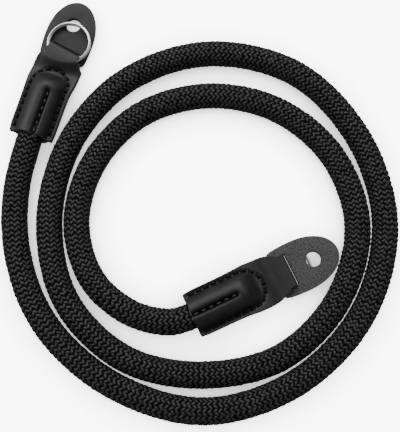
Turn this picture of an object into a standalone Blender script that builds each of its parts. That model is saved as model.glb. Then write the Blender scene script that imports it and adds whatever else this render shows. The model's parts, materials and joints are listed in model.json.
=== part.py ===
"""Camera strap, coiled flat: a braided rope with a stitched leather end, split ring and pad at each side.

Metres, +Z up, everything lying on the plane z = 0. The origin is below the middle of the leather ends.
Each end is built in its own frame: x runs from the mouth of the rope's socket to the tip of the pad,
y across the leather and z up.
"""

import math

import bmesh
import bpy
import numpy as np
from mathutils import Matrix, Vector

# Rope
ROPE_DIAMETER = 0.0100
ROPE_INSERT = 0.0195        # rope inside the leather
ROPE_POINTS = 80
COIL_RADIUS = 0.0700        # middle line of the outer turn
REST_RUN = 0.022            # length over which the rope comes down from the socket to the surface

# Leather strip
LEATHER = 0.0015
FLANGE = 0.0027             # stitched border beside the rope
RUN_OUT = 0.0099            # from the rope's end to the arch of stitches
PINCH = 0.0020              # from the arch of stitches to the loop
FOLD_BEND = 0.0006          # inner radius of the fold
CREASE_DEPTH = 0.0005       # the sewn line along the middle of the socket
CREASE_WIDTH = 0.0012

# Protector pad
PAD_LENGTH = 0.0264
PAD_WIDTH = 0.0200
PAD_THICKNESS = 0.0020
PAD_BAR = 0.0040            # the pad's edge that lies inside the loop
PAD_CORNER = 0.0016
LUG_HOLE = 0.0058
LUG_HOLE_FROM_SLOT = 0.0122
SLOT_SLACK = 0.0002         # room in the slot past the clearance

# Split ring
RING_OUTER = 0.0180
RING_WIDTH = 0.0013         # of its flat wire, across
RING_WIRE = 0.0009          # of its flat wire, up
RING_TURN_GAP = 0.0002
RING_REACH_A = 0.0022       # how far its middle lies past the fold
RING_REACH_B = 0.0003

CLEARANCE = 0.0003
EDGE = 0.0004               # rounding of the leather's cut edges

# Where the two mouths lie in the coil: bearing from its middle, share of COIL_RADIUS and heading
MOUTHS = {
    "a": {"bearing": 152.7, "radius": 1.094, "heading": 73.3},
    "b": {"bearing": 262.3, "radius": 0.5055, "heading": 25.2},
}
# The rope just outside a mouth, in the end's frame: back along x and aside along y, in rope diameters
LEADS = {
    "a": [(0.7, -0.01), (1.56, -0.056)],
    "b": [(0.7, 0.10)],
}
# The lay of the turns: outer turn as a share of COIL_RADIUS, and the gaps to the turns inside it
# as shares of ROPE_DIAMETER
LAY = [
    {"bearing": 180, "outer": 1.042, "gap_1": 0.331, "gap_2": 0.045},
    {"bearing": 210, "outer": 1.012, "gap_1": 0.115, "gap_2": 0.265},
    {"bearing": 240, "outer": 0.987, "gap_1": 0.045, "gap_2": 0.683},
    {"bearing": 270, "outer": 0.994, "gap_1": 0.300, "gap_2": 1.260},
    {"bearing": 300, "outer": 0.975, "gap_1": 0.072, "gap_2": 1.260},
    {"bearing": 330, "outer": 0.9745, "gap_1": 0.040, "gap_2": 1.260},
    {"bearing": 360, "outer": 0.9885, "gap_1": 0.061, "gap_2": 1.260},
    {"bearing": 390, "outer": 0.999, "gap_1": 0.285, "gap_2": 1.260},
    {"bearing": 420, "outer": 1.029, "gap_1": 0.736, "gap_2": 1.260},
    {"bearing": 450, "outer": 1.006, "gap_1": 0.796, "gap_2": 1.260},
    {"bearing": 480, "outer": 0.950, "gap_1": 0.526, "gap_2": 1.260},
    {"bearing": 510, "outer": 0.884, "gap_1": 0.203, "gap_2": 1.260},
]
LAST_BEARING = 960          # counted on through the turns, where the rope turns in to mouth b

# Cross sections of the leather strip. at: share of its zone. spread: 0 as wide as the fold, 1 as the
# widest. drop: its middle plane, 0 at the rope's, 1 at the loop's. crown: 1 where it wraps the rope.
SECTIONS = [
    {"zone": "socket", "at": 0.00, "spread": 0.70, "drop": 0.00, "crown": 1.00},
    {"zone": "socket", "at": 0.20, "spread": 0.79, "drop": 0.00, "crown": 1.00},
    {"zone": "socket", "at": 0.50, "spread": 0.80, "drop": 0.00, "crown": 1.00},
    {"zone": "socket", "at": 0.80, "spread": 0.82, "drop": 0.00, "crown": 1.00},
    {"zone": "socket", "at": 1.00, "spread": 0.86, "drop": 0.03, "crown": 0.99},
    {"zone": "run_out", "at": 0.17, "spread": 0.90, "drop": 0.10, "crown": 0.95},
    {"zone": "run_out", "at": 0.34, "spread": 0.95, "drop": 0.25, "crown": 0.82},
    {"zone": "run_out", "at": 0.52, "spread": 1.00, "drop": 0.48, "crown": 0.57},
    {"zone": "run_out", "at": 0.70, "spread": 1.00, "drop": 0.73, "crown": 0.30},
    {"zone": "run_out", "at": 0.86, "spread": 1.00, "drop": 0.91, "crown": 0.11},
    {"zone": "run_out", "at": 1.00, "spread": 0.98, "drop": 1.00, "crown": 0.02},
    {"zone": "pinch", "at": 0.50, "spread": 0.95, "drop": 1.00, "crown": 0.00},
    {"zone": "pinch", "at": 1.00, "spread": 0.90, "drop": 1.00, "crown": 0.00},
    {"zone": "loop", "at": 0.14, "spread": 0.84, "drop": 1.00, "crown": 0.00},
    {"zone": "loop", "at": 0.28, "spread": 0.74, "drop": 1.00, "crown": 0.00},
    {"zone": "loop", "at": 0.45, "spread": 0.58, "drop": 1.00, "crown": 0.00},
    {"zone": "loop", "at": 0.72, "spread": 0.28, "drop": 1.00, "crown": 0.00},
    {"zone": "loop", "at": 1.00, "spread": 0.00, "drop": 1.00, "crown": 0.00},
]
# How far round the crown a section has its points, in degrees from the top
CROWN_ANGLES = (6, 12, 20, 30, 42, 55, 68, 80)
CROWN_FILLET = 5            # exponent of the blend from crown to border: higher is sharper
FOLD_STEPS = 4
POCKET_STEPS = 4
SOCKET_SIDES = 24
SOCKET_DOME = 0.4           # depth of the socket's rounded bottom, as a share of the rope's radius
HOLE_SIDES = 32
PAD_TIP_STEPS = 22
PAD_FULLNESS = 2.3          # exponent of the tip's outline: 2 is an ellipse
PAD_SHOULDER = 0.36         # share of its length where the pad is widest
PAD_FOOT = 0.93             # width at the edge inside the loop, as a share of the widest
PAD_SIDE_POINTS = (0.15, 0.25)      # shares of its length between the foot and the shoulder
SLOT_ROUNDING = 0.9         # how round the slot's ends are: 1 is a half circle
RING_STEP = 12              # degrees
RING_JOG = 36               # degrees over which its wire steps up a turn
RING_SLIT = 5               # degrees between an end of the wire and the step
RING_CHAMFER = 0.28         # share of the wire's height

# Worked out from the sizes above
RING_REACH = {"a": RING_REACH_A, "b": RING_REACH_B}
rope_radius = ROPE_DIAMETER / 2
socket_radius = rope_radius + CLEARANCE
crown_radius = socket_radius + LEATHER
seat_height = crown_radius                              # of the rope's axis in the socket
ring_height = 2 * RING_WIRE + RING_TURN_GAP
loop_thickness = 2 * LEATHER + PAD_THICKNESS + ring_height + 3 * CLEARANCE
loop_middle = loop_thickness / 2
arch_x = ROPE_INSERT + RUN_OUT
loop_x = arch_x + PINCH
fold_x = loop_x + CLEARANCE + RING_OUTER / 2 - RING_REACH["b"]
fold_radius = FOLD_BEND + LEATHER
sleeve_half = crown_radius + FLANGE
# The strip is as wide at the fold as the ring that is drawn out furthest lets it be
ring_room = RING_OUTER / 2 - RING_WIDTH - CLEARANCE
fold_half = math.sqrt(ring_room**2 - (max(RING_REACH.values()) + LEATHER)**2)
slot_start = fold_x - LEATHER - CLEARANCE
slot_end = fold_x + CLEARANCE + SLOT_SLACK
pad_start = slot_start - PAD_BAR

# Height of a layer's underside in the loop: on end a the ring lies over the pad, on end b under it
under = LEATHER + CLEARANCE
PAD_HEIGHT = {"a": under, "b": under + ring_height + CLEARANCE}
RING_HEIGHT = {"a": under + PAD_THICKNESS + CLEARANCE, "b": under}

# Each layer of the loop rises from the arch of stitches to full height where what lies against it
# begins: the ring or the pad. On end a the ring lies against the upper layer, on end b the pad does.
swell_start = arch_x - PINCH / 2
pocket_start = arch_x + PINCH / 4
pad_back = pad_start - CLEARANCE
ring_back = {side: fold_x + reach - RING_OUTER / 2 - CLEARANCE for side, reach in RING_REACH.items()}
FULL_HEIGHT = {
    "a": {"upper": ring_back["a"], "lower": pad_back},
    "b": {"upper": pad_back, "lower": ring_back["b"]},
}


def clear_scene():
    for obj in list(bpy.data.objects):
        bpy.data.objects.remove(obj, do_unlink=True)


def material(name, colour, roughness, metallic=0.0):
    made = bpy.data.materials.new(name)
    made.use_nodes = True
    shader = made.node_tree.nodes["Principled BSDF"]
    shader.inputs["Base Color"].default_value = (*colour, 1.0)
    shader.inputs["Roughness"].default_value = roughness
    shader.inputs["Metallic"].default_value = metallic
    return made


def add_object(name, data, parent, finish=None):
    obj = bpy.data.objects.new(name, data)
    bpy.context.collection.objects.link(obj)
    obj.parent = parent
    if finish:
        data.materials.append(finish)
    return obj


def mesh_from(name, bm):
    bmesh.ops.recalc_face_normals(bm, faces=bm.faces)
    mesh = bpy.data.meshes.new(name)
    bm.to_mesh(mesh)
    bm.free()
    mesh.shade_smooth()
    mesh.set_sharp_from_angle(angle=math.radians(40))
    return mesh


def loft(rings, closed=False):
    """A skin over rings of points, with its two ends capped unless it closes on itself."""
    bm = bmesh.new()
    loops = [[bm.verts.new(point) for point in ring] for ring in rings]
    pairs = list(zip(loops, loops[1:]))
    if closed:
        pairs.append((loops[-1], loops[0]))
    for first, second in pairs:
        for i in range(len(first)):
            j = (i + 1) % len(first)
            bm.faces.new((first[i], first[j], second[j], second[i]))
    if not closed:
        bm.faces.new(loops[0][::-1])
        bm.faces.new(loops[-1])
    return bm


def prism(outline, place, along):
    """An outline of (u, v) pairs swept along a vector; place turns a pair into a point."""
    bm = bmesh.new()
    face = bm.faces.new([bm.verts.new(place(u, v)) for u, v in outline])
    swept = bmesh.ops.extrude_face_region(bm, geom=[face])
    moved = [item for item in swept["geom"] if isinstance(item, bmesh.types.BMVert)]
    bmesh.ops.translate(bm, verts=moved, vec=along)
    return bm


def cut(target, cutter):
    cutter.hide_render = True
    cutter.display_type = "WIRE"
    boolean = target.modifiers.new(cutter.name, "BOOLEAN")
    boolean.operation = "DIFFERENCE"
    boolean.solver = "EXACT"
    boolean.object = cutter


def smooth_step(t):
    t = min(max(t, 0.0), 1.0)
    return t * t * (3 - 2 * t)


# Leather strip

ZONES = {
    "socket": (0.0, ROPE_INSERT),
    "run_out": (ROPE_INSERT, RUN_OUT),
    "pinch": (arch_x, PINCH),
    "loop": (loop_x, fold_x - fold_radius - loop_x),
}


def strip_top(y, half, rise, border, crease):
    """Height above the strip's middle plane: a crown over the rope that runs out into the border."""
    round_part = rise * math.sqrt(max(0.0, 1 - (y / crown_radius)**2))
    blend = (border**CROWN_FILLET + round_part**CROWN_FILLET)**(1 / CROWN_FILLET)
    edge = EDGE * smooth_step((abs(y) - half + EDGE) / EDGE)
    return blend - edge - crease * math.exp(-(y / CREASE_WIDTH)**2)


def strip_section(x, half, middle, rise, borders, crease):
    """One cross section, from the +y edge over the top to the -y edge and back below."""
    crown = [crown_radius * math.sin(math.radians(angle)) for angle in CROWN_ANGLES]
    beside = min(crown_radius, half - 3 * EDGE)
    scale = beside / crown_radius
    side = [y * scale for y in crown] + [beside, (beside + half - EDGE) / 2, half - EDGE, half]
    across = side[::-1] + [0.0] + [-y for y in side]
    upper = [(x, y, middle + strip_top(y, half, rise, borders["upper"], crease)) for y in across]
    lower = [(x, y, max(middle - strip_top(y, half, rise, borders["lower"], crease), 0.0)) for y in across]
    return upper + lower[::-1]


def loop_border(x, full_height):
    """Height of a layer's outer face above the middle plane, beside the crown."""
    return LEATHER + (loop_middle - LEATHER) * smooth_step((x - swell_start) / (full_height - swell_start))


def strip_sections(side):
    sections = []
    for row in SECTIONS:
        start, length = ZONES[row["zone"]]
        half = fold_half + (sleeve_half - fold_half) * row["spread"]
        middle = seat_height + (loop_middle - seat_height) * row["drop"]
        rise = crown_radius * row["crown"]
        crease = CREASE_DEPTH if row["zone"] == "socket" and row["at"] < 1 else 0.0
        x = start + length * row["at"]
        borders = {layer: loop_border(x, full) for layer, full in FULL_HEIGHT[side].items()}
        sections.append(strip_section(x, half, middle, rise, borders, crease))
    for step in range(1, FOLD_STEPS + 1):
        turn = math.radians(90 * step / FOLD_STEPS)
        x = fold_x - fold_radius + fold_radius * math.sin(turn)
        border = loop_middle - fold_radius + fold_radius * math.cos(turn)
        borders = {"upper": border, "lower": border}
        sections.append(strip_section(x, fold_half, loop_middle, 0.0, borders, 0.0))
    return sections


def socket_cutter():
    """Round, a little longer than the rope's end, with a domed bottom."""
    bottom = ROPE_INSERT + CLEARANCE
    dome = rope_radius * SOCKET_DOME
    profile = [(-2 * LEATHER, socket_radius), (bottom, socket_radius)]
    for angle in (30, 60, 80):
        turn = math.radians(angle)
        profile.append((bottom + dome * math.sin(turn), socket_radius * math.cos(turn)))
    rings = []
    for x, radius in profile:
        turns = [2 * math.pi * (i + 0.5) / SOCKET_SIDES for i in range(SOCKET_SIDES)]
        rings.append([(x, radius * math.cos(t), seat_height + radius * math.sin(t)) for t in turns])
    return mesh_from("socket_cutter", loft(rings))


def pocket_cutter(side):
    """The room between the two layers of the loop, open at both sides of the strip."""
    half = loop_middle - LEATHER
    far = fold_x - LEATHER
    outline = [(pocket_start, 0.0)]
    for layer, sign in (("lower", -1), ("upper", 1)):
        wall = []
        for step in range(1, POCKET_STEPS + 1):
            share = step / POCKET_STEPS
            x = pocket_start + (FULL_HEIGHT[side][layer] - pocket_start) * share
            wall.append((x, sign * half * smooth_step(share)))
        for turn in (0, 45, 90):
            angle = math.radians(turn)
            x = far - FOLD_BEND + FOLD_BEND * math.sin(angle)
            wall.append((x, sign * (half - FOLD_BEND + FOLD_BEND * math.cos(angle))))
        outline += wall if sign < 0 else wall[::-1]
    width = 2 * PAD_WIDTH
    bm = prism(outline, lambda u, v: (u, -width / 2, loop_middle + v), (0, width, 0))
    return mesh_from("pocket_cutter", bm)


def add_leather_end(side, parent, finish):
    skin = mesh_from("leather_end", loft(strip_sections(side)))
    end = add_object(f"leather_end_{side}", skin, parent, finish)
    cut(end, add_object(f"socket_cutter_{side}", socket_cutter(), parent))
    cut(end, add_object(f"pocket_cutter_{side}", pocket_cutter(side), parent))
    return end


# Protector pad

def pad_half_width(share):
    """Half of the pad's width at a share of its length."""
    half = PAD_WIDTH / 2
    if share < PAD_SHOULDER:
        return half * (PAD_FOOT + (1 - PAD_FOOT) * math.sin(share / PAD_SHOULDER * math.pi / 2))
    out = (share - PAD_SHOULDER) / (1 - PAD_SHOULDER)
    return half * math.sqrt(max(0.0, 1 - out**PAD_FULLNESS))


def pad_outline():
    side = []
    foot = pad_half_width(0)
    for angle in (0, 30, 60, 90):
        turn = math.radians(angle)
        x = PAD_CORNER * (1 - math.sin(turn))
        side.append((pad_start + x, foot - PAD_CORNER * (1 - math.cos(turn))))
    side.reverse()
    for share in PAD_SIDE_POINTS:
        side.append((pad_start + PAD_LENGTH * share, pad_half_width(share)))
    for step in range(PAD_TIP_STEPS):
        turn = math.pi / 2 * step / PAD_TIP_STEPS
        share = PAD_SHOULDER + (1 - PAD_SHOULDER) * math.sin(turn)
        side.append((pad_start + PAD_LENGTH * share, pad_half_width(share)))
    return side + [(pad_start + PAD_LENGTH, 0.0)] + [(x, -y) for x, y in reversed(side)]


def slot_outline():
    """The slot that the folded strip passes through, with round ends."""
    radius = (slot_end - slot_start) / 2
    middle = (slot_start + slot_end) / 2
    straight = fold_half + CLEARANCE
    outline = []
    for sign, first in ((1, 0), (-1, 180)):
        for angle in (0, 45, 90, 135, 180):
            turn = math.radians(first + angle)
            outline.append((middle + radius * math.cos(turn),
                            sign * (straight - radius / 2) + radius * math.sin(turn) * SLOT_ROUNDING))
    return outline


def add_pad(side, parent, finish):
    low = PAD_HEIGHT[side]
    flat = lambda u, v: (u, v, low)
    bm = prism(pad_outline(), flat, (0, 0, PAD_THICKNESS))
    pad = add_object(f"protector_pad_{side}", mesh_from("protector_pad", bm), parent, finish)
    below = lambda u, v: (u, v, low - LEATHER)
    through = (0, 0, PAD_THICKNESS + 2 * LEATHER)
    slot = add_object(f"slot_cutter_{side}", mesh_from("slot_cutter", prism(slot_outline(), below, through)),
                      parent)
    hole_x = slot_start + LUG_HOLE_FROM_SLOT
    turns = [2 * math.pi * (i + 0.5) / HOLE_SIDES for i in range(HOLE_SIDES)]
    round_outline = [(hole_x + LUG_HOLE / 2 * math.cos(t), LUG_HOLE / 2 * math.sin(t)) for t in turns]
    hole = add_object(f"lug_hole_cutter_{side}",
                      mesh_from("lug_hole_cutter", prism(round_outline, below, through)), parent)
    cut(pad, slot)
    cut(pad, hole)
    return pad


# Split ring

def ring_section(angle, height):
    """The flat wire's section, with its long edges taken off."""
    inner = RING_OUTER / 2 - RING_WIDTH
    outer = RING_OUTER / 2
    bite = RING_WIRE * RING_CHAMFER
    turn = math.radians(angle)
    corners = [(inner, bite), (inner + bite, 0), (outer - bite, 0), (outer, bite),
               (outer, RING_WIRE - bite), (outer - bite, RING_WIRE), (inner + bite, RING_WIRE),
               (inner, RING_WIRE - bite)]
    return [(r * math.cos(turn), r * math.sin(turn), height + z) for r, z in corners]


def add_split_ring(side, parent, finish):
    """Two turns of flat wire: it runs round, steps up beside its own start and runs round again."""
    step_up = 360 - RING_JOG
    last = 360 + step_up - RING_SLIT
    count = round((last - RING_SLIT) / RING_STEP)
    rings = []
    for i in range(count + 1):
        angle = RING_SLIT + (last - RING_SLIT) * i / count
        share = smooth_step((angle - step_up) / RING_JOG)
        rings.append(ring_section(angle, share * (RING_WIRE + RING_TURN_GAP)))
    ring = add_object(f"split_ring_{side}", mesh_from("split_ring", loft(rings)), parent, finish)
    ring.location = (fold_x + RING_REACH[side], 0, RING_HEIGHT[side])
    ring.rotation_euler = (0, 0, math.radians(180))
    return ring


# Rope

def mouth_matrix(side):
    mouth = MOUTHS[side]
    bearing = math.radians(mouth["bearing"])
    reach = COIL_RADIUS * mouth["radius"]
    place = Matrix.Translation((reach * math.cos(bearing), reach * math.sin(bearing), 0))
    return place @ Matrix.Rotation(math.radians(mouth["heading"]), 4, "Z")


def lay_point(row, turn):
    """A point of the spiral: each turn lies inside the one before, a rope and a gap away."""
    radius = COIL_RADIUS * row["outer"]
    for gap in ("gap_1", "gap_2")[:turn]:
        radius -= ROPE_DIAMETER * (1 + row[gap])
    bearing = math.radians(row["bearing"])
    return Vector((radius * math.cos(bearing), radius * math.sin(bearing), 0))


def rope_route():
    """From inside end a, round the coil and into end b, with the height of each point."""
    inside = (1.0, 0.5, 0.0)
    start = [mouth_matrix("a") @ Vector((ROPE_INSERT * share, 0, 0)) for share in inside]
    start += [mouth_matrix("a") @ Vector((-ROPE_DIAMETER * x, ROPE_DIAMETER * y, 0)) for x, y in LEADS["a"]]
    finish = [mouth_matrix("b") @ Vector((ROPE_INSERT * share, 0, 0)) for share in inside]
    finish += [mouth_matrix("b") @ Vector((-ROPE_DIAMETER * x, ROPE_DIAMETER * y, 0)) for x, y in LEADS["b"]]
    coil = [lay_point(row, turn) for turn in range(3) for row in LAY
            if row["bearing"] + 360 * turn <= LAST_BEARING]
    route = start + coil + finish[::-1]
    mouths = [mouth_matrix(side) @ Vector((0, 0, 0)) for side in ("a", "b")]
    for i, point in enumerate(route):
        mouth = mouths[0] if i < len(route) / 2 else mouths[1]
        is_inside = i < len(inside) or i >= len(route) - len(inside)
        away = 0.0 if is_inside else (point - mouth).length
        point.z = rope_radius + (seat_height - rope_radius) * (1 - smooth_step(away / REST_RUN))
    return np.array([tuple(point) for point in route])


def smooth_curve(points, count):
    """Points at equal distances on a smooth curve through the given ones."""
    knots = np.concatenate([[0], np.cumsum(np.linalg.norm(np.diff(points, axis=0), axis=1))])
    slopes = np.gradient(points, knots, axis=0)
    fine = []
    for i in range(len(points) - 1):
        span = knots[i + 1] - knots[i]
        for t in np.linspace(0, 1, 40, endpoint=False):
            fine.append((2 * t**3 - 3 * t**2 + 1) * points[i] + (t**3 - 2 * t**2 + t) * span * slopes[i]
                        + (3 * t**2 - 2 * t**3) * points[i + 1] + (t**3 - t**2) * span * slopes[i + 1])
    fine = np.array(fine + [points[-1]])
    fine[:, 2] = np.maximum(fine[:, 2], rope_radius)
    along = np.concatenate([[0], np.cumsum(np.linalg.norm(np.diff(fine, axis=0), axis=1))])
    wanted = np.linspace(0, along[-1], count)
    return np.column_stack([np.interp(wanted, along, fine[:, axis]) for axis in range(3)])


def add_rope(parent, finish):
    curve = bpy.data.curves.new("rope", "CURVE")
    curve.dimensions = "3D"
    curve.bevel_depth = rope_radius
    curve.bevel_resolution = 4
    curve.use_fill_caps = True
    spline = curve.splines.new("POLY")
    points = smooth_curve(rope_route(), ROPE_POINTS)
    spline.points.add(len(points) - 1)
    for target, point in zip(spline.points, points):
        target.co = (*point, 1)
    return add_object("rope", curve, parent, finish)


def centre_below(objects, root):
    """Move everything so that the origin lies below the middle of these objects."""
    bpy.context.view_layer.update()
    corners = np.array([obj.matrix_world @ vertex.co for obj in objects for vertex in obj.data.vertices])
    low, high = corners.min(axis=0), corners.max(axis=0)
    root.location = (-(low[0] + high[0]) / 2, -(low[1] + high[1]) / 2, -low[2])


def build():
    clear_scene()
    black_rope = material("black_nylon_rope", (0.018, 0.018, 0.018), 0.75)
    smooth_leather = material("black_smooth_leather", (0.015, 0.015, 0.015), 0.42)
    pad_leather = material("dark_grey_pad_leather", (0.045, 0.045, 0.045), 0.6)
    steel = material("polished_steel", (0.72, 0.72, 0.72), 0.12, 1.0)
    strap = add_object("strap", None, None)
    add_rope(strap, black_rope)
    ends = []
    for side in ("a", "b"):
        place = add_object(f"end_{side}", None, strap)
        place.matrix_local = mouth_matrix(side)
        ends.append(add_leather_end(side, place, smooth_leather))
        ends.append(add_pad(side, place, pad_leather))
        ends.append(add_split_ring(side, place, steel))
    centre_below(ends, strap)


build()
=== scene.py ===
# %% [markdown]
# A rope camera strap, coiled on a table. The strap is one length of round braided nylon rope. Each of
# its ends sits in a strip of black leather that is folded in two, sewn round the rope and left open at
# the fold as a loop. The loop holds a steel split ring and a leather pad that keeps the ring from
# scratching the camera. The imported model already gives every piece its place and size, so this script
# only makes the surfaces: the braid, the stitches, the leather, the suede and the polished steel.

import json
import math

import bpy
import numpy as np
from mathutils import Matrix, Vector


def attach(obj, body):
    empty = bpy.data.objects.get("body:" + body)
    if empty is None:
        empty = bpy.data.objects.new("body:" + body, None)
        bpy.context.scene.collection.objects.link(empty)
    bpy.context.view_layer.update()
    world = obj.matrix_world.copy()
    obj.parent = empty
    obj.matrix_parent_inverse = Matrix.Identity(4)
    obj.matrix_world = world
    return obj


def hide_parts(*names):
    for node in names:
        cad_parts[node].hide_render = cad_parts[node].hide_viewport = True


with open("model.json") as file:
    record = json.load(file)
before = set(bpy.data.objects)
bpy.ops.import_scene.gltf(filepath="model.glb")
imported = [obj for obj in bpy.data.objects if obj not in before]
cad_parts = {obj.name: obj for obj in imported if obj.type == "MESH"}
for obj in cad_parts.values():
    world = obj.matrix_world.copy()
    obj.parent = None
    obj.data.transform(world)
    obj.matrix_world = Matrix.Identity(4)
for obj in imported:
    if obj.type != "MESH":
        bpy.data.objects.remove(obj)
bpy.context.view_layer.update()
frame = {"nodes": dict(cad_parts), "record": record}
bpy.ops.object.select_all(action="DESELECT")
print("nodes:", ", ".join(sorted(frame["nodes"])))

# %% [markdown]
# Sizes in this file are written as on a workshop drawing, in millimetres, and turned to metres by MM.
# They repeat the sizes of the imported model, so that what is modelled here lies where its solid lies.

# %% Sizes
MM = 0.001

ROPE_DIAMETER = 10 * MM
ROPE_INSERT = 19.5 * MM     # rope inside the leather
COIL_RADIUS = 70 * MM
REST_RUN = 22 * MM          # length over which the rope comes down to the table

LEATHER = 1.5 * MM
FLANGE = 2.7 * MM           # stitched border beside the rope
RUN_OUT = 9.9 * MM          # from the rope's end to the arch of stitches
PINCH = 2.0 * MM            # from the arch of stitches to the loop
FOLD_BEND = 0.6 * MM
CLEARANCE = 0.3 * MM

PAD_LENGTH = 26.4 * MM
PAD_WIDTH = 20 * MM
PAD_THICKNESS = 2 * MM
PAD_BAR = 4 * MM
PAD_CORNER = 1.6 * MM
LUG_HOLE = 5.8 * MM
LUG_HOLE_FROM_SLOT = 12.2 * MM

RING_OUTER = 18 * MM
RING_WIDTH = 1.3 * MM
RING_WIRE = 0.9 * MM
RING_TURN_GAP = 0.2 * MM
RING_REACH = {"a": 2.2 * MM, "b": 0.3 * MM}

rope_radius = ROPE_DIAMETER / 2
crown_radius = rope_radius + CLEARANCE + LEATHER
seat_height = crown_radius
ring_height = 2 * RING_WIRE + RING_TURN_GAP
loop_middle = (2 * LEATHER + PAD_THICKNESS + ring_height + 3 * CLEARANCE) / 2
arch_x = ROPE_INSERT + RUN_OUT
loop_x = arch_x + PINCH
fold_x = loop_x + CLEARANCE + RING_OUTER / 2 - RING_REACH["b"]
fold_radius = FOLD_BEND + LEATHER
sleeve_half = crown_radius + FLANGE
ring_room = RING_OUTER / 2 - RING_WIDTH - CLEARANCE
fold_half = math.sqrt(ring_room**2 - (max(RING_REACH.values()) + LEATHER) ** 2)
slot_start = fold_x - LEATHER - CLEARANCE
pad_start = slot_start - PAD_BAR
hole_x = slot_start + LUG_HOLE_FROM_SLOT
under = LEATHER + CLEARANCE
PAD_HEIGHT = {"a": under, "b": under + ring_height + CLEARANCE}
RING_HEIGHT = {"a": under + PAD_THICKNESS + CLEARANCE, "b": under}
print(f"loop {2 * loop_middle / MM:.1f} mm thick, fold at {fold_x / MM:.1f} mm from the rope's socket")

# %% [markdown]
# Each leather end is modelled in its own frame and then put in its place: x runs from the mouth of
# the socket to the tip of the pad, y across the leather, z up. The model's record gives the middle of
# each pad's flat face, and from that point the mouth and the middle of the whole coil follow.

# %% Where the ends lie
MOUTHS = {
    "a": {"bearing": 152.7, "radius": 1.094, "heading": 73.3},
    "b": {"bearing": 262.3, "radius": 0.5055, "heading": 25.2},
}
PAD_FACE_PAST_FOLD = 4.5 * MM


def polar(bearing, radius):
    angle = math.radians(bearing)
    return Vector((radius * math.cos(angle), radius * math.sin(angle), 0))


def mouth_matrix(side):
    mouth = MOUTHS[side]
    place = Matrix.Translation(polar(mouth["bearing"], mouth["radius"] * COIL_RADIUS))
    return place @ Matrix.Rotation(math.radians(mouth["heading"]), 4, "Z")


mounts = {mount["name"]: Vector(mount["pos_m"]) for mount in frame["record"]["mounts"]}
pad_face = mouth_matrix("a") @ Vector((fold_x + PAD_FACE_PAST_FOLD, 0, 0))
coil_middle = mounts["pad_face_a"] - pad_face
coil_middle.z = 0
END_PLACE = {side: Matrix.Translation(coil_middle) @ mouth_matrix(side) for side in MOUTHS}
print("middle of the coil:", [round(value / MM, 2) for value in coil_middle], "mm")

# %% [markdown]
# The camera comes before any modelling, because everything after it is judged through it. The
# photograph looks down on the coil at a steep angle from quite near, so the lower part of the coil is a
# little larger. The camera is placed by its angle, its distance and the point that it looks at, which
# is easier to read and to correct than three coordinates and three turns.

# %% Camera
CAMERA_ELEVATION = math.radians(77)
CAMERA_DISTANCE = 314 * MM
CAMERA_AIM = Vector((-1.79, 3.49, 5.0)) * MM     # from the middle of the coil
CAMERA_LENS = 68.03         # millimetres, as the sensor's long side
CAMERA_SENSOR = 36
CAMERA_CLIP = (0.01, 60)    # metres

camera_target = coil_middle + CAMERA_AIM
camera_back = Vector((0, -math.cos(CAMERA_ELEVATION), math.sin(CAMERA_ELEVATION)))
bpy.ops.object.camera_add(
    location=camera_target + camera_back * CAMERA_DISTANCE,
    rotation=(-camera_back).to_track_quat("-Z", "Y").to_euler(),
)
camera = bpy.context.object
camera.data.lens = CAMERA_LENS
camera.data.sensor_width = CAMERA_SENSOR
camera.data.clip_start, camera.data.clip_end = CAMERA_CLIP
bpy.context.scene.camera = camera
print("camera at", [round(value / MM, 1) for value in camera.location], "mm")

# %% [markdown]
# Every piece goes through the same few steps: select it alone, apply its modifiers, put it in its
# place and report it. A small function for each keeps the modelling cells short.

# %% Modelling helpers
SHARP = math.radians(50)    # where faces meet at more than this, there is an edge


def activate(obj):
    bpy.ops.object.select_all(action="DESELECT")
    obj.select_set(True)
    bpy.context.view_layer.objects.active = obj
    return obj


def named(name):
    """Name the object that was just added, and deselect the rest."""
    obj = bpy.context.object
    obj.name = name
    obj.data.name = name
    return activate(obj)


def modify(obj, kind, **settings):
    """Add a modifier, set it and apply it."""
    activate(obj)
    modifier = obj.modifiers.new(kind.lower(), kind)
    for key, value in settings.items():
        setattr(modifier, key, value)
    bpy.ops.object.modifier_apply(modifier=modifier.name)


def place(obj, matrix):
    """Move the mesh and leave the object at the origin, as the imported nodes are."""
    obj.data.transform(matrix)
    obj.data.update()


def vertices(obj):
    points = np.empty(len(obj.data.vertices) * 3)
    obj.data.vertices.foreach_get("co", points)
    return points.reshape(-1, 3)


def move_vertices(obj, points):
    obj.data.vertices.foreach_set("co", np.asarray(points, dtype=float).ravel())
    obj.data.update()


def tell(obj):
    triangles = sum(len(face.vertices) - 2 for face in obj.data.polygons)
    size = [round(value / MM, 1) for value in np.ptp(vertices(obj), axis=0)]
    print(f"{obj.name}: {triangles} triangles, {size} mm")


def turn_outwards(obj):
    """Make all faces of a closed mesh point outwards."""
    activate(obj)
    bpy.ops.object.mode_set(mode="EDIT")
    bpy.ops.mesh.select_all(action="SELECT")
    bpy.ops.mesh.normals_make_consistent(inside=False)
    bpy.ops.object.mode_set(mode="OBJECT")


def done(obj):
    """Deselect a finished piece and report it."""
    obj.select_set(False)
    tell(obj)
    return obj


# %% [markdown]
# The rope and the seams follow smooth lines through a few chosen points. Blender's own curves could
# draw them, but here the points of a line are needed as numbers, because stitches and their holes stand
# at equal distances along it. A few short functions work them out.

# %% Smooth lines
CURVE_STEPS = 40            # between two of the given points


def smooth_step(t):
    t = np.clip(t, 0.0, 1.0)
    return t * t * (3 - 2 * t)


def smooth_between(t, span, ends, slopes):
    """The way from one value to the next, met with the given slopes, as t goes from 0 to 1."""
    return ((2 * t**3 - 3 * t**2 + 1) * ends[0] + (t**3 - 2 * t**2 + t) * span * slopes[0]
            + (3 * t**2 - 2 * t**3) * ends[1] + (t**3 - t**2) * span * slopes[1])


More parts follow.
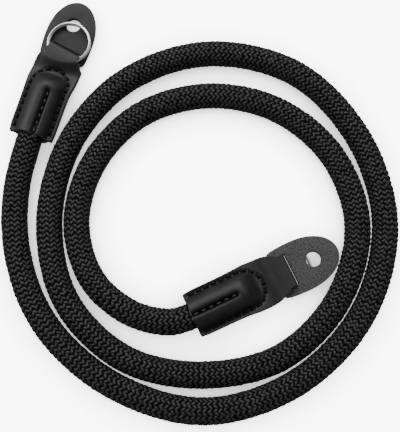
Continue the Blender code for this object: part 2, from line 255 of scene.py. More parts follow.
def lengths_along(line):
    """Distance of each point of a line from its first one, along the line."""
    return np.concatenate([[0], np.cumsum(np.linalg.norm(np.diff(line, axis=0), axis=1))])


def points_at(line, wanted):
    """Points at the wanted distances along a line."""
    along = lengths_along(line)
    return np.column_stack([np.interp(wanted, along, column) for column in line.T])


def smooth_curve(points, count):
    """Points at equal distances on a smooth curve through the given ones."""
    knots = lengths_along(points)
    slopes = np.gradient(points, knots, axis=0)
    fine = [smooth_between(t, knots[i + 1] - knots[i], points[i:i + 2], slopes[i:i + 2])
            for i in range(len(points) - 1) for t in np.linspace(0, 1, CURVE_STEPS, endpoint=False)]
    fine = np.array(fine + [points[-1]])
    return points_at(fine, np.linspace(0, lengths_along(fine)[-1], count))


print("smooth lines take", CURVE_STEPS, "steps from one given point to the next")

# %% [markdown]
# The rope is a cord, so its route is fixed before its look. It leaves the socket of end a straight,
# comes down to the table and is wound in two and a third turns to end b. The turns are read from a
# short table of how they lie at every 30 degrees: the outer turn's distance from the middle as a share
# of the coil's radius, and the gaps between neighbouring turns as shares of the rope's thickness. A
# smooth curve goes through those points.

# %% The rope's route
LEADS = {
    "a": [(0.7, -0.01), (1.56, -0.056)],
    "b": [(0.7, 0.10)],
}
LAY = [                     # bearing, distance of the outer turn, gaps to the turns inside it
    (180, 1.042, 0.331, 0.045),
    (210, 1.012, 0.115, 0.265),
    (240, 0.987, 0.045, 0.683),
    (270, 0.994, 0.300),
    (300, 0.975, 0.072),
    (330, 0.9745, 0.040),
    (360, 0.9885, 0.061),
    (390, 0.999, 0.285),
    (420, 1.029, 0.736),
    (450, 1.006, 0.796),
    (480, 0.950, 0.526),
    (510, 0.884, 0.203),
]
ROUTE_POINTS = 460


def lay_point(row, turn):
    bearing, outer, *gaps = row
    radius = COIL_RADIUS * outer
    for gap in gaps[:turn]:
        radius -= ROPE_DIAMETER * (1 + gap)
    return coil_middle + polar(bearing, radius)


def socket_points(side):
    """From the rope's end inside the leather out to the first points of the lead."""
    inside = [Vector((ROPE_INSERT * share, 0, 0)) for share in (1.0, 0.5, 0.0)]
    outside = [Vector((-ROPE_DIAMETER * x, ROPE_DIAMETER * y, 0)) for x, y in LEADS[side]]
    return [END_PLACE[side] @ point for point in inside + outside]


def rope_route():
    coil = [lay_point(row, turn) for turn in range(3) for row in LAY if turn < len(row) - 1]
    start, finish = socket_points("a"), socket_points("b")
    route = start + coil + finish[::-1]
    for i, point in enumerate(route):
        mouth = start[2] if i < len(route) / 2 else finish[2]
        is_inside = i < 3 or i >= len(route) - 3
        away = 0.0 if is_inside else (point.xy - mouth.xy).length
        point.z = rope_radius + (seat_height - rope_radius) * (1 - smooth_step(away / REST_RUN))
    return np.array([tuple(point) for point in route])


rope_path = smooth_curve(rope_route(), ROUTE_POINTS)
rope_path[:, 2] = np.maximum(rope_path[:, 2], rope_radius)
rope_length = float(lengths_along(rope_path)[-1])
print(f"rope {rope_length:.4f} m long in {ROUTE_POINTS} points")

# %% [markdown]
# Under the braid lies the rope's core, a round body that shows only between the strands. Its near-black
# colour is painted shade, the shadow in the gaps between the strands. It is a curve with a round bevel,
# the plainest way to make a long thin tube, and the same curve later bends the braid. Its twist mode
# keeps "up" up, so that the braid doesn't wind round the rope by itself.

# %% Rope core
CORE_RADIUS = 4.92 * MM


def new_tube(name, radius, resolution):
    """A curve object with a round bevel and closed ends, without any line yet."""
    curve = bpy.data.curves.new(name, "CURVE")
    curve.dimensions = "3D"
    curve.bevel_depth = radius
    curve.bevel_resolution = resolution
    curve.use_fill_caps = True
    tube = bpy.data.objects.new(name, curve)
    bpy.context.collection.objects.link(tube)
    return tube


def add_line(tube, places):
    line = tube.data.splines.new("POLY")
    line.points.add(len(places) - 1)
    line.points.foreach_set("co", np.column_stack([places, np.ones(len(places))]).ravel())
    return line


rope_core = new_tube("rope_core", CORE_RADIUS, 4)
rope_core.data.twist_mode = "Z_UP"
rope_core.data.use_deform_bounds = False
core_line = add_line(rope_core, rope_path)
print("core:", len(core_line.points), "points")

# %% [markdown]
# The braid is what makes it a rope. Seen close, every strand comes up for a short stretch, lies
# slanted over its neighbours and dives again, so the surface is a field of small plump ovals. They
# stand in columns along the rope, and the columns lean left and right in turn, which gives the
# herringbone. A bump map could draw that, but the rope's outline would stay as smooth as a hose. So one
# oval is modelled, copied round the rope, repeated along it with an Array modifier and bent
# along the core with a Curve modifier. Each oval has few faces, because there are thousands of them.

# %% One oval of the braid
BRAID_COLUMNS = 22
BRAID_PITCH = 1.96 * MM     # from one oval to the next along the rope
BRAID_LEAN = 47             # degrees between an oval and the rope's axis
BRAID_SHIFT = 0.28          # how far the right-leaning columns lie ahead, as a share of the pitch
OVAL_LENGTH = 2.30 * MM
OVAL_WIDTH = 1.25 * MM
OVAL_FOOT = 4.82 * MM       # distance of its edge from the rope's axis
OVAL_TOP = 5.10 * MM
OVAL_SQUARE = 2.4           # exponent of its outline: 2 is an ellipse, higher is squarer
OVAL_PLUMP = (0.55, 0.5)    # exponents of its height along and across: lower is plumper
OVAL_BLUNT = 0.10           # how much shorter it is at its sides
OVAL_TAPER = 0.30           # how much narrower it is at its ends


def braid_oval(lean):
    """A low dome with its edge below the core's surface, laid on the rope's top at x = 0."""
    bpy.ops.mesh.primitive_grid_add(x_subdivisions=4, y_subdivisions=3, size=2)
    oval = named("braid_oval")
    bpy.ops.object.mode_set(mode="EDIT")
    bpy.ops.mesh.select_all(action="DESELECT")
    bpy.ops.mesh.select_non_manifold()
    bpy.ops.mesh.edge_face_add()
    bpy.ops.object.mode_set(mode="OBJECT")
    flat = vertices(oval)
    along, across = flat[:, 0], flat[:, 1]
    height = ((1 - np.abs(along) ** OVAL_SQUARE) ** OVAL_PLUMP[0]
              * (1 - np.abs(across) ** OVAL_SQUARE) ** OVAL_PLUMP[1])
    along = along * (1 - OVAL_BLUNT * across**2) * OVAL_LENGTH / 2
    across = across * (1 - OVAL_TAPER * flat[:, 0] ** 2) * OVAL_WIDTH / 2
    angle = math.radians(BRAID_LEAN) * lean
    x = along * math.cos(angle) - across * math.sin(angle)
    turn = (along * math.sin(angle) + across * math.cos(angle)) / rope_radius
    radius = OVAL_FOOT + (OVAL_TOP - OVAL_FOOT) * height
    move_vertices(oval, np.column_stack([x, radius * np.sin(turn), radius * np.cos(turn)]))
    return oval


trial = braid_oval(1)
tell(trial)
bpy.data.objects.remove(trial)

# %% [markdown]
# The left-leaning and the right-leaning columns become two pieces. An Array modifier repeats a ring of
# ovals along x. Real yarn isn't perfectly even, so before the braid is bent each oval is shifted by
# about a tenth of a millimetre and lifted by less. The random numbers have a fixed seed, so every run
# gives the same rope.

# %% Weave the braid
HIDDEN_IN_SOCKET = 3 * MM   # how far the braid goes on inside the leather
STRAY_ALONG = 0.12 * MM
STRAY_ROUND = 1.5           # degrees
STRAY_UP = 0.05 * MM


def weave(name, lean, first_column, shift, seed):
    oval = braid_oval(lean)
    copies = []
    for column in range(first_column, BRAID_COLUMNS, 2):
        copy = bpy.data.objects.new(name, oval.data.copy())
        bpy.context.collection.objects.link(copy)
        copy.data.transform(Matrix.Rotation(2 * math.pi * column / BRAID_COLUMNS, 4, "X"))
        copies.append(copy)
    bpy.data.objects.remove(oval)
    activate(copies[0])
    for copy in copies:
        copy.select_set(True)
    bpy.ops.object.join()
    ring = named(name)
    start = ROPE_INSERT - HIDDEN_IN_SOCKET + shift * BRAID_PITCH
    rows = int((rope_length - start - ROPE_INSERT + HIDDEN_IN_SOCKET) / BRAID_PITCH)
    place(ring, Matrix.Translation((start, 0, 0)))
    modify(ring, "ARRAY", count=rows, use_relative_offset=False, use_constant_offset=True,
           constant_offset_displace=(BRAID_PITCH, 0, 0))
    points = vertices(ring)
    ovals = rows * BRAID_COLUMNS // 2
    each = len(points) // ovals
    stray = np.repeat(np.random.default_rng(seed).normal(size=(ovals, 3)), each, axis=0)
    turn = np.radians(STRAY_ROUND) * stray[:, 1]
    grown = 1 + STRAY_UP / rope_radius * stray[:, 2]
    y = (points[:, 1] * np.cos(turn) - points[:, 2] * np.sin(turn)) * grown
    z = (points[:, 1] * np.sin(turn) + points[:, 2] * np.cos(turn)) * grown
    move_vertices(ring, np.column_stack([points[:, 0] + STRAY_ALONG * stray[:, 0], y, z]))
    modify(ring, "CURVE", object=rope_core, deform_axis="POS_X")
    bpy.ops.object.shade_smooth()
    return done(ring)


braid_left = weave("braid_left", 1, 0, 0.0, seed=3)
braid_right = weave("braid_right", -1, 1, BRAID_SHIFT, seed=4)

# %% [markdown]
# Each leather end is one strip, laid round the rope's end, folded back at the loop and sewn. It is
# made the same way here: a flat grid stands for the strip, its points are moved on to the folded form,
# and a Solidify modifier gives it the thickness of the hide. That leaves the two layers and their cut
# edges in view, which a solid lump would not.
#
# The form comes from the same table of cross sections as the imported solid: how wide the strip is, how
# high its middle plane lies and how much it crowns over the rope.

# %% The strip's cross sections
COLUMNS = ("zone", "at", "spread", "drop", "crown")
SECTIONS = [
    ("socket", 0.00, 0.70, 0.00, 1.00),
    ("socket", 0.20, 0.79, 0.00, 1.00),
    ("socket", 0.50, 0.80, 0.00, 1.00),
    ("socket", 0.80, 0.82, 0.00, 1.00),
    ("socket", 1.00, 0.86, 0.03, 0.99),
    ("run_out", 0.17, 0.90, 0.10, 0.95),
    ("run_out", 0.34, 0.95, 0.25, 0.82),
    ("run_out", 0.52, 1.00, 0.48, 0.57),
    ("run_out", 0.70, 1.00, 0.73, 0.30),
    ("run_out", 0.86, 1.00, 0.91, 0.11),
    ("run_out", 1.00, 0.98, 1.00, 0.02),
    ("pinch", 0.50, 0.95, 1.00, 0.00),
    ("pinch", 1.00, 0.90, 1.00, 0.00),
    ("loop", 0.14, 0.84, 1.00, 0.00),
    ("loop", 0.28, 0.74, 1.00, 0.00),
    ("loop", 0.45, 0.58, 1.00, 0.00),
    ("loop", 0.72, 0.28, 1.00, 0.00),
    ("loop", 1.00, 0.00, 1.00, 0.00),
]
ZONES = {
    "socket": (0.0, ROPE_INSERT),
    "run_out": (ROPE_INSERT, RUN_OUT),
    "pinch": (arch_x, PINCH),
    "loop": (loop_x, fold_x - fold_radius - loop_x),
}
TINY = 1e-12                # where the table is level, it avoids 0 / 0

section_x = np.array([ZONES[zone][0] + ZONES[zone][1] * at for zone, at, *_ in SECTIONS])


def section_value(column, x):
    """A column of the table at x, on a smooth line that never swings past its rows."""
    values = np.array([row[COLUMNS.index(column)] for row in SECTIONS])
    rise = np.diff(values) / np.diff(section_x)
    both = rise[:-1] * rise[1:]
    slopes = np.concatenate([[0], np.where(both > 0, 2 * both / (rise[:-1] + rise[1:] + TINY), 0), [0]])
    i = np.clip(np.searchsorted(section_x, x, side="right") - 1, 0, len(rise) - 1)
    span = section_x[i + 1] - section_x[i]
    t = np.clip((x - section_x[i]) / span, 0, 1)
    return smooth_between(t, span, (values[i], values[i + 1]), (slopes[i], slopes[i + 1]))


def strip_half(x):
    return fold_half + (sleeve_half - fold_half) * section_value("spread", x)


def strip_middle(x):
    return seat_height + (loop_middle - seat_height) * section_value("drop", x)


for x in (0, 10, 25, 36):
    print(f"at {x} mm the strip is {2 * strip_half(x * MM) / MM:.1f} mm wide")

# %% [markdown]
# Leather bends in soft curves, so the crown over the rope runs into the stitched border in a hollow,
# and the seam up the socket pulls it into a crease. All of that is one height over the strip's middle
# plane. It could be sculpted, but a formula keeps both ends alike and every form at its size. How soon
# the loop reaches its full height follows from where the ring and the pad's foot lie inside it.

# %% The leather's height
CROWN_FILLET = 3.4          # exponent of the blend from crown to border: softer than the solid's 5
CREASE_ASIDE = {"a": -1.9 * MM, "b": -0.4 * MM}     # how far it lies from the strip's middle line
CREASE_DEPTH = 1.3 * MM
CREASE_WIDTH = 0.85 * MM
CREASE_END = 0.86 * ROPE_INSERT
CREASE_FADE = 0.16 * ROPE_INSERT    # length over which it ends
HOLLOW_DEPTH = 0.5 * MM     # the wide hollow on both sides of the crease
HOLLOW_WIDTH = 2.3 * MM
HOLLOW_START = -1 * MM      # just outside the mouth
HOLLOW_RISE = 5 * MM        # length over which it reaches its depth
LOOP_BULGE = 0.35 * MM      # the loop is a little rounder than the solid's
LOOP_FULL = 1.5             # it is at its full height this many fold radii before the fold
RING_LAYER = {"a": 1, "b": -1}      # the layer that the ring lies against; the pad lies against the other

swell_start = arch_x - PINCH / 2


def full_height_from(side, layer, y):
    """How far along the strip the ring's curved back, or the pad's straight foot, holds the layer up."""
    if layer != RING_LAYER[side]:
        return pad_start - CLEARANCE + 0 * y
    ring_half = np.sqrt(np.maximum((RING_OUTER / 2) ** 2 - np.square(y), 0))
    return np.minimum(fold_x + RING_REACH[side] - CLEARANCE - ring_half, fold_x - LOOP_FULL * fold_radius)


def strip_rise(side, layer, x, y):
    """Height of a layer's outer face above the strip's middle plane, before it is sewn."""
    full_height = full_height_from(side, layer, y)
    border = LEATHER + (loop_middle - LEATHER) * smooth_step((x - swell_start) / (full_height - swell_start))
    crown = crown_radius * section_value("crown", x)
    round_part = crown * np.sqrt(np.maximum(0, 1 - (y / crown_radius) ** 2))
    blend = (border**CROWN_FILLET + round_part**CROWN_FILLET) ** (1 / CROWN_FILLET)
    sewn_down = 1 - smooth_step((x - CREASE_END) / CREASE_FADE)
    aside = y - CREASE_ASIDE[side]
    crease = CREASE_DEPTH * np.exp(-((aside / CREASE_WIDTH) ** 2))
    hollow = HOLLOW_DEPTH * np.exp(-((aside / HOLLOW_WIDTH) ** 2))
    hollow = hollow * smooth_step((x - HOLLOW_START) / HOLLOW_RISE)
    bulge = LOOP_BULGE * np.sin(math.pi * np.clip((x - arch_x) / (fold_x - arch_x), 0, 1)) ** 2
    return blend - sewn_down * (crease + hollow) + bulge


for x in (0, 10, 25, 36):
    print(f"at {x} mm its middle rises {strip_rise('a', 1, x * MM, 0.0) / MM:.1f} mm")

# %% [markdown]
# Two seams hold the leather: one follows the rope's sides and closes in an arch behind its end, the
# other runs up the socket near its middle, where it makes the crease. Waxed thread pulls the leather
# down, so each seam lies in a shallow furrow with a pit at every hole, and the crease's pits are the
# deepest. The holes are worked out first, because both the leather's surface and the stitches are made
# from them.

# %% Seams and their holes
SEAM = [                    # millimetres along and across the strip
    (0.9, 7.3), (5, 7.45), (12, 7.4), (19, 7.4), (23.5, 7.3),
    (26.2, 6.5), (28.1, 4.7), (29.2, 2.4), (29.6, 0),
]
CREASE_SEAM = (0.4, 18.0)   # its start and its end along the strip, in millimetres
SEAM_POINTS = 400
FURROW_POINTS = 160
STITCH_PITCH = 3.1 * MM
STITCH_LENGTH = 1.7 * MM    # between its two holes
STITCH_POINTS = 7
THREAD_RADIUS = 0.36 * MM
FURROW_DEPTH = 0.16 * MM
FURROW_WIDTH = 0.75 * MM
PIT_DEPTH = 0.60 * MM
PIT_WIDTH = 0.55 * MM
CREASE_PIT_DEPTH = 0.9 * MM     # added at the holes of the crease
CREASE_PIT_WIDTH = 0.7 * MM

side_seam = [(x * MM, y * MM) for x, y in SEAM]
outer_seam = np.array(side_seam + [(x, -y) for x, y in side_seam[-2::-1]])
middle_seams = {side: np.array([(x * MM, aside) for x in np.linspace(*CREASE_SEAM, 3)])
                for side, aside in CREASE_ASIDE.items()}


def seam_stitches(points):
    """The line of each stitch of a seam, in a few points from hole to hole."""
    line = smooth_curve(points, SEAM_POINTS)
    length = lengths_along(line)[-1]
    count = int((length + STITCH_PITCH - STITCH_LENGTH) / STITCH_PITCH)
    first = (length - (count - 1) * STITCH_PITCH - STITCH_LENGTH) / 2
    steps = STITCH_LENGTH * np.linspace(0, 1, STITCH_POINTS)
    return [points_at(line, first + i * STITCH_PITCH + steps) for i in range(count)]


def ends_of(seam):
    return np.array([stitch[end] for stitch in seam for end in (0, -1)])


crease_stitches = {side: seam_stitches(middle_seams[side]) for side in MOUTHS}
stitches = {side: seam_stitches(outer_seam) + crease_stitches[side] for side in MOUTHS}
furrow = {side: np.concatenate([smooth_curve(seam, FURROW_POINTS) for seam in (outer_seam, middle)])
          for side, middle in middle_seams.items()}
print(len(stitches["a"]), "stitches on each side of an end")


def nearest(x, y, points):
    """Distance from each of the given places to the nearest of some points."""
    return np.min(np.hypot(x[:, None] - points[:, 0], y[:, None] - points[:, 1]), axis=1)


def sewn_rise(side, layer, x, y):
    x, y = np.broadcast_arrays(np.atleast_1d(x), np.atleast_1d(y))
    holes, crease_holes = ends_of(stitches[side]), ends_of(crease_stitches[side])
    pull = FURROW_DEPTH * np.exp(-((nearest(x, y, furrow[side]) / FURROW_WIDTH) ** 2))
    pull += PIT_DEPTH * np.exp(-((nearest(x, y, holes) / PIT_WIDTH) ** 2))
    pull += CREASE_PIT_DEPTH * np.exp(-((nearest(x, y, crease_holes) / CREASE_PIT_WIDTH) ** 2))
    return strip_rise(side, layer, x, y) - pull


# %% [markdown]
# Now the strip itself. The grid's length is shared out between the upper layer, the turn at the loop
# and the lower layer. Its points are then moved on to the form, the upper and the lower layer as each
# other's mirror image, and the lower one is kept from going through the table. In the photograph the
# loop of end a has been pulled back and askew by its ring, and that of end b is a little longer, so the
# loop's points also swing away from the solid's, more and more towards the fold.

# %% Leather strips
TOP_STEPS = 120
FOLD_STEPS = 7
STRAIGHT_STEPS = 4
WIDTH_STEPS = 56
LOOP_SWING = {
    "a": {"along": -1.3 * MM, "across": -0.9 * MM, "skew": 0.22},
    "b": {"along": 0.7 * MM, "across": 0.0, "skew": 0.0},
}
LAYER_GAP = 0.03 * MM       # hides the faces of the two layers from each other
CUT_EDGE = 0.30 * MM        # rounding of the cut edges

flat_end = fold_x - fold_radius
layer_stations = [(x, 0.0) for x in np.linspace(0, flat_end, TOP_STEPS + 1)]
turn_stations = []
for step in range(1, FOLD_STEPS + 1):
    turn = math.radians(90 * step / FOLD_STEPS)
    turn_stations.append((flat_end + fold_radius * math.sin(turn), fold_radius * (1 - math.cos(turn))))
straight = loop_middle - fold_radius
upper_stations = [(x, 1, sunk) for x, sunk in layer_stations + turn_stations]
straight_stations = [(fold_x, level, None) for level in np.linspace(straight, -straight, STRAIGHT_STEPS + 1)]
lower_stations = [(x, -1, sunk) for x, sunk in (layer_stations + turn_stations)[::-1]]
stations = upper_stations + straight_stations[1:-1] + lower_stations


def loop_swing(side, x, y):
    """How far a place on the strip is moved along and across by the swing of its loop."""
    swing = LOOP_SWING[side]
    share = smooth_step((x - arch_x) / (fold_x - arch_x))
    return share * (swing["along"] + swing["skew"] * y), share * swing["across"]


def strip_points(side, u, v):
    """Places on the folded strip: u counts its stations, v runs from -1 to 1 across it."""
    points = np.empty((len(u), 3))
    for i, (x, layer, sunk) in enumerate(stations):
        row = u == i
        y = v[row] * strip_half(min(x, flat_end))
        if sunk is None:
            z = np.full(len(y), loop_middle + layer)
        else:
            rise = sewn_rise(side, layer, min(x, flat_end), y) - sunk
            z = np.maximum(strip_middle(min(x, flat_end)) + layer * rise, 0)
        along, across = loop_swing(side, x, y)
        points[row] = np.column_stack([x + along, y + across, z])
    return points


def add_strip(side):
    bpy.ops.mesh.primitive_grid_add(x_subdivisions=len(stations) - 1, y_subdivisions=WIDTH_STEPS, size=2)
    strip = named(f"leather_strip_{side}")
    flat = vertices(strip)
    u = np.round((flat[:, 0] + 1) / 2 * (len(stations) - 1)).astype(int)
    move_vertices(strip, strip_points(side, u, flat[:, 1]))
    modify(strip, "SOLIDIFY", thickness=LEATHER - LAYER_GAP, offset=-1, use_even_offset=True)
    modify(strip, "BEVEL", width=CUT_EDGE, segments=2, limit_method="ANGLE", angle_limit=SHARP)
    place(strip, END_PLACE[side])
    bpy.ops.object.shade_smooth_by_angle(angle=SHARP)
    return done(strip)


strips = {side: add_strip(side) for side in MOUTHS}

# %% [markdown]
# A stitch is a short piece of thread that comes out of one hole, lies on the leather and goes down the
# next. Each is one spline of a bevelled curve that follows the leather's height and thins out where it
# dives. All the stitches of an end are splines of the same curve, which is then turned into a mesh.

# %% Stitches
THREAD_LIFT = 0.20 * MM     # of the thread's middle over the leather
THREAD_DIVE = 0.55 * MM     # of its ends
THREAD_THINNING = 0.3       # share of its radius that is lost at its ends


def add_stitches(side):
    tube = new_tube(f"stitches_{side}", THREAD_RADIUS, 2)
    share = np.linspace(-1, 1, STITCH_POINTS)
    lift = THREAD_LIFT - (THREAD_LIFT + THREAD_DIVE) * share**4
    for layer in (1, -1):
        for stitch in stitches[side]:
            x, y = stitch.T
            rise = strip_rise(side, layer, x, y) - FURROW_DEPTH
            z = strip_middle(x) + layer * (rise + lift)
            z = np.maximum(z, THREAD_RADIUS) if layer < 0 else z
            line = add_line(tube, np.column_stack([x, y, z]))
            line.points.foreach_set("radius", 1 - THREAD_THINNING * share**4)
    activate(tube)
    bpy.ops.object.convert(target="MESH")
    obj = named(tube.name)
    place(obj, END_PLACE[side])
    bpy.ops.object.shade_smooth()
    return done(obj)


threads = {side: add_stitches(side) for side in MOUTHS}

# %% [markdown]
# The pads are stamped out of thicker leather: a straight foot inside the loop, bulging sides and an
# oval tip, with a slot for the loop and a round hole for the camera's lug. A circle's points are moved
# on to that outline, the face is extruded to the pad's thickness, and two Booleans punch the openings.
# The slot follows its loop, also where that has swung, and the dark or bright line beside the fold is
# the rest of the slot. A small bevel breaks the stamped edges, as wear does on the real pad.

# %% Pads
PAD_FULLNESS = 2.3
PAD_SHOULDER = 0.36
PAD_FOOT = 0.93
PAD_SIDES = 144
PAD_SIDE_STEPS = 12
PAD_TIP_STEPS = 60
PAD_EDGE = 0.25 * MM
PAD_SMOOTH = math.radians(35)       # its bevelled edges stay visible
SLOT_CORNER = 0.6 * MM
SLOT_ROOM = {"a": 1.25 * MM, "b": 0.40 * MM}    # left open beyond the loop
SLOT_SIDE = 0.1 * MM        # left open at each side of the loop


def pad_half_width(share):
    half = PAD_WIDTH / 2
    if share < PAD_SHOULDER:
        return half * (PAD_FOOT + (1 - PAD_FOOT) * math.sin(share / PAD_SHOULDER * math.pi / 2))
    out = (share - PAD_SHOULDER) / (1 - PAD_SHOULDER)
    return half * math.sqrt(max(0.0, 1 - out**PAD_FULLNESS))


def pad_outline():
    """Half of the outline, from the middle of the foot to the tip, at equal steps."""
    foot = pad_half_width(0)
    side = [(pad_start, 0)]
    for angle in range(0, 91, 10):
        turn = math.radians(90 - angle)
        side.append((pad_start + PAD_CORNER * (1 - math.sin(turn)), foot - PAD_CORNER * (1 - math.cos(turn))))
    for share in np.linspace(PAD_CORNER / PAD_LENGTH, PAD_SHOULDER, PAD_SIDE_STEPS)[1:]:
        side.append((pad_start + PAD_LENGTH * share, pad_half_width(share)))
    for step in range(1, PAD_TIP_STEPS):
        share = PAD_SHOULDER + (1 - PAD_SHOULDER) * math.sin(math.pi / 2 * step / PAD_TIP_STEPS)
        side.append((pad_start + PAD_LENGTH * share, pad_half_width(share)))
    line = np.array(side + [(pad_start + PAD_LENGTH, 0)])
    return points_at(line, np.linspace(0, lengths_along(line)[-1], PAD_SIDES // 2 + 1))


def punch(target, cutter):
    modify(target, "BOOLEAN", operation="DIFFERENCE", solver="EXACT", object=cutter)
    bpy.data.objects.remove(cutter)


def add_pad(side):
    low = PAD_HEIGHT[side]
    slot_end = fold_x + SLOT_ROOM[side]
    bpy.ops.mesh.primitive_circle_add(vertices=PAD_SIDES, fill_type="NGON")
    pad = named(f"pad_{side}")
    half = pad_outline()
    outline = np.concatenate([half, half[-2:0:-1] * (1, -1)])
    move_vertices(pad, np.column_stack([outline, np.full(PAD_SIDES, low)]))
    bpy.ops.object.mode_set(mode="EDIT")
    bpy.ops.mesh.select_all(action="SELECT")
    bpy.ops.mesh.extrude_region_move(TRANSFORM_OT_translate={"value": (0, 0, PAD_THICKNESS)})
    bpy.ops.object.mode_set(mode="OBJECT")
    turn_outwards(pad)
    middle = low + PAD_THICKNESS / 2
    bpy.ops.mesh.primitive_cylinder_add(vertices=64, radius=LUG_HOLE / 2, depth=3 * PAD_THICKNESS,
                                        location=(hole_x, 0, middle))
    punch(pad, named("lug_hole"))
    along, across = loop_swing(side, fold_x, 0)
    bpy.ops.mesh.primitive_cube_add(size=1, rotation=(0, 0, -math.atan(LOOP_SWING[side]["skew"])),
                                    location=((slot_start + slot_end) / 2 + along, across, middle),
                                    scale=(slot_end - slot_start, 2 * (fold_half + SLOT_SIDE),
                                           3 * PAD_THICKNESS))
    slot = named("slot")
    bpy.ops.object.transform_apply(location=True, rotation=True, scale=True)
    modify(slot, "BEVEL", width=SLOT_CORNER, segments=6, limit_method="ANGLE", angle_limit=SHARP)
    punch(pad, slot)
    modify(pad, "BEVEL", width=PAD_EDGE, segments=3, limit_method="ANGLE", angle_limit=SHARP)
    place(pad, END_PLACE[side])
    activate(pad)
    bpy.ops.object.shade_smooth_by_angle(angle=PAD_SMOOTH)
    return done(pad)


pads = {side: add_pad(side) for side in MOUTHS}

# %% [markdown]
# A split ring is flat steel wire wound in two turns that lie on each other. A circle is squared to the
# wire's section and spun round twice. Spin keeps the sections in order, so each can then be lifted by
# the number of turns already made: flat for most of the way, with one quick step up beside the wire's
# own start, which is the kink that a thumbnail opens.

# %% Split rings
WIRE_SIDES = 16
WIRE_SQUARE = 3.2           # exponent of its section: 2 is round, higher is squarer
RING_STEP = 3               # degrees
RING_JOG = 36               # degrees in which the wire steps up
RING_SLIT = 5               # degrees between its start and the step
WIRE_WIDTH = 1.0 * MM       # a little slimmer than the solid's square wire
WIRE_THICKNESS = 0.85 * MM
# How far each ring has slid in its loop from the solid's place
RING_SWING = {"a": Vector((-0.3, -1.2, 0)) * MM, "b": Vector((0.3, 0, 0)) * MM}


def add_ring(side):
    wire_middle = (RING_OUTER - RING_WIDTH) / 2
    bpy.ops.mesh.primitive_circle_add(vertices=WIRE_SIDES, radius=1, fill_type="NGON",
                                      location=(wire_middle, 0, 0), rotation=(math.pi / 2, 0, 0))
    ring = named(f"ring_{side}")
    bpy.ops.object.transform_apply(location=False, rotation=True, scale=True)
    turns = [math.atan2(vertex.co.z, vertex.co.x) for vertex in ring.data.vertices]
    for vertex, turn in zip(ring.data.vertices, turns):
        size = (abs(math.cos(turn)) ** WIRE_SQUARE + abs(math.sin(turn)) ** WIRE_SQUARE) ** (-1 / WIRE_SQUARE)
        vertex.co = (size * math.cos(turn) * WIRE_WIDTH / 2, 0, size * math.sin(turn) * WIRE_THICKNESS / 2)
    bpy.ops.object.transform_apply(location=True, rotation=True, scale=True)
    last = 2 * 360 - RING_JOG - RING_SLIT
    steps = (last - RING_SLIT) // RING_STEP
    bpy.ops.object.mode_set(mode="EDIT")
    bpy.ops.mesh.select_all(action="SELECT")
    bpy.ops.mesh.spin(steps=steps, angle=math.radians(steps * RING_STEP), center=(0, 0, 0), axis=(0, 0, 1))
    bpy.ops.object.mode_set(mode="OBJECT")
    points = vertices(ring)
    print("spun", len(points), "points,", steps, "steps")
    made = RING_SLIT + RING_STEP * (np.arange(len(points)) // WIRE_SIDES)
    lift = smooth_step((made - 360 + RING_JOG) / RING_JOG) * (RING_WIRE + RING_TURN_GAP)
    points[:, 2] += RING_HEIGHT[side] + RING_WIRE / 2 + lift
    move_vertices(ring, points)
    half_turn = Matrix.Rotation(math.radians(180 + RING_SLIT), 4, "Z")
    middle = Vector((fold_x + RING_REACH[side], 0, 0)) + RING_SWING[side]
    place(ring, END_PLACE[side] @ Matrix.Translation(middle) @ half_turn)
    turn_outwards(ring)
    bpy.ops.object.shade_smooth_by_angle(angle=SHARP)
    return done(ring)


rings = {side: add_ring(side) for side in MOUTHS}

# %% [markdown]
# Materials come next. Colours are written as the sRGB hex values that a paint program shows, and one
# function turns them to the linear values that Blender reckons with. One function adds a node with its
# settings and links, and everything below is built from it. The names of all these nodes begin with
# ShaderNode, so the function writes that.

# %% Material helpers
def linear(hex_colour):
    channels = [int(hex_colour[i:i + 2], 16) / 255 for i in (1, 3, 5)]
    return (*[c / 12.92 if c <= 0.04045 else ((c + 0.055) / 1.055) ** 2.4 for c in channels], 1.0)


def set_inputs(material, target, inputs):
    """Set each input of a node to its value, or link it where that is another node's output."""
    for key, value in inputs.items():
        if isinstance(value, bpy.types.NodeSocket):
            material.node_tree.links.new(value, target.inputs[key])
        else:
            target.inputs[key].default_value = value


def node(material, kind, inputs, **settings):
    made = material.node_tree.nodes.new("ShaderNode" + kind)
    for key, value in settings.items():
        setattr(made, key, value)
    set_inputs(material, made, inputs)
    return made


def new_material(name):
    """A material, its shader, and the coordinates that its patterns can follow."""
    made = bpy.data.materials.new(name)
    made.use_nodes = True
    return made, made.node_tree.nodes["Principled BSDF"], node(made, "TexCoord", {}).outputs


def two_tones(material, share, dark, light, low=0.35, high=0.65):
    """A colour between two hex values, chosen by a node's output."""
    ramp = node(material, "ValToRGB", {"Fac": share})
    ramp.color_ramp.elements[0].position = low
    ramp.color_ramp.elements[0].color = linear(dark)
    ramp.color_ramp.elements[1].position = high
    ramp.color_ramp.elements[1].color = linear(light)
    return ramp.outputs["Color"]


print("black nylon in linear light:", [round(value, 4) for value in linear("#1a1a1a")[:3]])

# %% [markdown]
# The rope's strands are bundles of fine nylon filaments, dyed black. A bundle shines a little along
# its top, because the filaments lie side by side like hair, and looks matt across. Waves that run
# across each oval's own UV map stand for the filaments.

# %% Nylon materials
FILAMENTS = 7               # a real strand has some hundred, too fine to show
WAVES = 3.14                # that the Wave texture draws at a scale of 1
NYLON_IOR = 1.53

